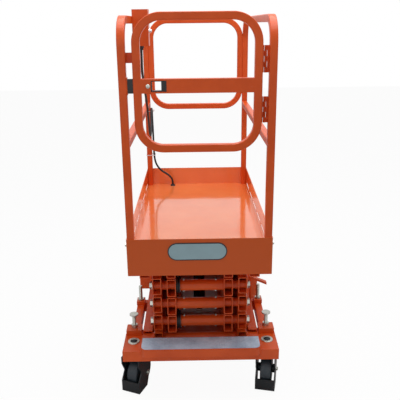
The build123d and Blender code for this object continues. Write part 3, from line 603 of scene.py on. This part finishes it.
def gate_screws():
    """Large pan head on the gate bar beside the latch window, and the hinge screws."""
    bar_x, bar_z, bar_radius, bar_thick = -0.187, 1.3955, 0.008, 0.003
    hinge_heights, reach, radius, thick = (1.489, 1.300), 0.034, 0.004, 0.002
    gate_leaf_x, post_leaf_x, leaf_thick = 0.233, 0.277, 0.0025
    screws = bmesh.new()
    add_pan_head(screws, (bar_x, gate_low.y, bar_z), (0, -1, 0), bar_radius, bar_thick)
    piece("gate_screw", screws, "gate", bright_zinc)
    leaves = bmesh.new()
    fixed = bmesh.new()
    face_y = gate_low.y + tube + leaf_thick
    for middle in hinge_heights:
        for z in (middle - reach, middle + reach):
            add_pan_head(leaves, (gate_leaf_x, face_y, z), (0, 1, 0), radius, thick)
            add_pan_head(fixed, (post_leaf_x, face_y, z), (0, 1, 0), radius, thick)
    piece("gate_hinge_screws", leaves, "gate", bright_zinc)
    piece("post_hinge_screws", fixed, "platform", bright_zinc)


def lock_bolts():
    """Bolts across the cross tubes that lock the pivot pins, heads above and nuts below."""
    bolt_x, seat = 0.073, 0.0245
    head = [(0, 0), (0.0055, 0), (0.0055, 0.004), (0.004, 0.0055), (0, 0.0058)]
    nut = [(0, 0), (0.0065, 0), (0.0065, 0.005), (0.003, 0.005), (0.003, 0.008), (0, 0.008)]
    rear_y = pivot_y + math.sqrt(arm_length**2 - level_pitch**2)
    for level in range(1, 5):
        high, low = first_pivot_z + level * level_pitch, first_pivot_z + (level - 1) * level_pitch
        bolts = bmesh.new()
        for y, z in ((pivot_y, high), (rear_y, low)):
            for x in (-bolt_x, bolt_x):
                add_turned(bolts, head, (x, y, z + seat), (0, 0, 1), sides=16)
                add_turned(bolts, nut, (x, y, z - seat), (0, 0, -1), sides=6)
        piece("lock_bolts_" + str(level), bolts, "inner_" + str(level), bright_zinc)


def screw_threads():
    """Thread rings on the four levelling screws."""
    core, root, crest, pitch = 0.0075, 0.0080, 0.0088, 0.002
    front_screw = (0.306, 0.187, 0.288, 0.334)
    rear_screw = (0.300, 0.465, 0.276, 0.343)
    threads = bmesh.new()
    for side in (-1, 1):
        for x, behind, low, high in (front_screw, rear_screw):
            profile = [(core, low)]
            for step in range(int((high - low) / pitch)):
                base = low + step * pitch
                profile += [(root, base), (crest, base + pitch / 2)]
            profile.append((core, high))
            add_turned(threads, profile, (side * x, front + behind, 0), (0, 0, 1), sides=20)
    piece("screw_threads", threads, "chassis", bright_zinc)


def caster_rings():
    """Zinc bearing rings set in the beam around the casters' stems, each with a dished washer."""
    inner, outer, thick, sunk, washer_seat = 0.0228, 0.0268, 0.0098, 0.0078, 0.0006
    cup = [(0.0150, 0.0010), (0.0160, 0.0034), (0.0255, 0.0034), (0.0265, 0.0020), (0.0265, 0)]
    cup += [(0.0150, 0), (0.0150, 0.0010)]
    rings = bmesh.new()
    for side in (-1, 1):
        x, y = side * caster_x, caster_y
        add_ring(rings, (x, y, beam_high.z - sunk), (0, 0, 1), inner, outer, thick)
        add_turned(rings, cup, (x, y, beam_high.z + washer_seat), (0, 0, 1), sides=32)
    piece("caster_rings", rings, "chassis", bright_zinc)


def tread_ribs():
    """Raised ribs of the chequer plate, turn by turn in two crossing directions."""
    pitch, length, width, height = 0.011, 0.0095, 0.0026, 0.0009
    bare_x, bare_y = 0.022, 0.018
    ribs = bmesh.new()
    half_width, half_depth = (tread_high.x - tread_low.x) / 2, (tread_high.y - tread_low.y) / 2
    middle_y = (tread_low.y + tread_high.y) / 2
    columns, rows = int(2 * half_width / pitch), int(2 * half_depth / pitch)
    for column in range(columns):
        for row in range(rows):
            x = (column - (columns - 1) / 2) * pitch
            y = (row - (rows - 1) / 2) * pitch
            # The plate's two front corners have no ribs
            if abs(x) > half_width - bare_x and y < bare_y - half_depth:
                continue
            angle = math.radians(45 if (column + row) % 2 else -45)
            add_rib(ribs, (x, middle_y + y, tread_high.z), angle, length, width, height)
    piece("tread_ribs", ribs, "chassis", tread_metal)


def add_rib(mesh, at, angle, length, width, height):
    """Adds one lens-shaped rib, pointed at both ends."""
    top_length, top_width = 0.7, 0.45
    turn = Matrix.Translation(Vector(at)) @ Matrix.Rotation(angle, 4, "Z")
    half, side = length / 2, width / 2
    base = [(-half, 0), (-half / 3, -side), (half / 3, -side)]
    base += [(half, 0), (half / 3, side), (-half / 3, side)]
    top = [(top_length * x, top_width * y, height) for x, y in base]
    low = [mesh.verts.new(turn @ Vector((x, y, 0))) for x, y in base]
    high = [mesh.verts.new(turn @ Vector(point)) for point in top]
    mesh.faces.new(high)
    for count in range(len(base)):
        following = (count + 1) % len(base)
        mesh.faces.new([low[count], low[following], high[following], high[count]])


def base_tub():
    """Shallow tub between the side rails below the stack, open at the front, with its flanges."""
    start, end, flange_end = front + 0.26, front + 1.134, front + 0.95
    low, high, half, rail, thick = 0.152, 0.1875, 0.168, 0.262, 0.005
    plates = bmesh.new()
    add_block(plates, (-half, start, low), (half, end, low + thick))
    add_block(plates, (-half, end - thick, low), (half, end, high))
    for side in (-1, 1):
        near, far = sorted((side * (half - thick), side * half))
        add_block(plates, (near, start, low), (far, end, high))
        near, far = sorted((side * half, side * rail))
        add_block(plates, (near, start, high - thick), (far, flange_end, high))
    piece("base_tub", plates, "chassis", orange_paint)


def add_hose(mesh, points, radius, sides=10):
    """Adds a round hose along points that lie in one upright plane from front to back."""
    across = Vector((1, 0, 0))
    angles = [math.tau * step / sides for step in range(sides)]
    rings = []
    for count, at in enumerate(points):
        ahead = points[min(count + 1, len(points) - 1)] - points[max(count - 1, 0)]
        up = ahead.normalized().cross(across)
        spokes = [math.cos(a) * across + math.sin(a) * up for a in angles]
        rings.append([mesh.verts.new(at + radius * spoke) for spoke in spokes])
    for low, high in zip(rings, rings[1:]):
        for step in range(sides):
            following = (step + 1) % sides
            mesh.faces.new([low[step], low[following], high[following], high[step]])
    mesh.faces.new(rings[0])
    mesh.faces.new(rings[-1])


def arm_hoses():
    """Pairs of thin hoses round the front cross tubes of two inner arm pairs, with a white tie."""
    wrap, radius = 0.0335, 0.0045
    hose_tails = ((-0.0925, 0.030), (-0.1018, 0.042))
    tie_x, tie_y, tie_half = -0.0972, 0.010, Vector((0.0105, 0.002, 0.0058))
    angles = [math.radians(90 + 15 * step) for step in range(13)]
    for level in (1, 3):
        hoses, ties = bmesh.new(), bmesh.new()
        centre = Vector((0, pivot_y, first_pivot_z + level * level_pitch))
        for x, tail in hose_tails:
            bend = [Vector((x, wrap * math.cos(a), wrap * math.sin(a))) for a in angles]
            path = [Vector((x, tail, wrap))] + bend + [Vector((x, tail, -wrap))]
            add_hose(hoses, [centre + at for at in path], radius)
        tie_at = centre + Vector((tie_x, tie_y, -wrap))
        add_block(ties, tie_at - tie_half, tie_at + tie_half)
        piece("arm_hoses_" + str(level), hoses, "inner_" + str(level), sheath)
        piece("hose_ties_" + str(level), ties, "inner_" + str(level), white_nylon)


def latch_liner():
    """Black liner round the latch window, with the thick edge of the slide's grip."""
    left, right, low, high, wall = -0.1757, -0.126, 1.3753, 1.4157, 0.003
    inset, grip_left, grip_proud, grip_lap = 0.0025, -0.137, 0.0008, 0.001
    near, far = gate_low.y + inset, gate_low.y + tube - inset
    liner = bmesh.new()
    add_block(liner, (left, near, low), (right, far, low + wall))
    add_block(liner, (left, near, high - wall), (right, far, high))
    add_block(liner, (left, near, low), (left + wall, far, high))
    add_block(liner, (grip_left, near - grip_proud, low), (right + grip_lap, far, high))
    piece("latch_liner", liner, "gate", plastic)


def axle_nuts():
    """Nuts on the casters' and rear wheels' axles."""
    across_flats, caster_thick, rear_thick = 0.015, 0.006, 0.0045
    # Each caster is parked at its own turn, in degrees
    for word, side, turn in (("left", -1, -23), ("right", 1, -13)):
        angle = math.radians(turn)
        along = Vector((math.cos(angle), math.sin(angle), 0))
        stem = Vector((side * caster_x, caster_y, axle_z))
        centre = stem + caster_trail * Vector((-along.y, along.x, 0))
        nuts = bmesh.new()
        for way in (-1, 1):
            at = centre + way * axle_half * along
            add_hex_head(nuts, at, way * along, across_flats, caster_thick)
        piece("axle_nuts_" + word, nuts, "caster_" + word, bright_zinc)
    nuts = bmesh.new()
    for side in (-1, 1):
        for way in (-1, 1):
            at = (side * rear_wheel_x + way * axle_half, rear_wheel_y, axle_z)
            add_hex_head(nuts, at, (way, 0, 0), across_flats, rear_thick)
    piece("axle_nuts_rear", nuts, "chassis", bright_zinc)


photo_camera()
studio()
dress_nodes()
control_cable()
cable_ties()
blank_sign()
tray_bolts()
box_buttons()
box_screws()
gate_screws()
lock_bolts()
screw_threads()
caster_rings()
tread_ribs()
base_tub()
arm_hoses()
latch_liner()
axle_nuts()
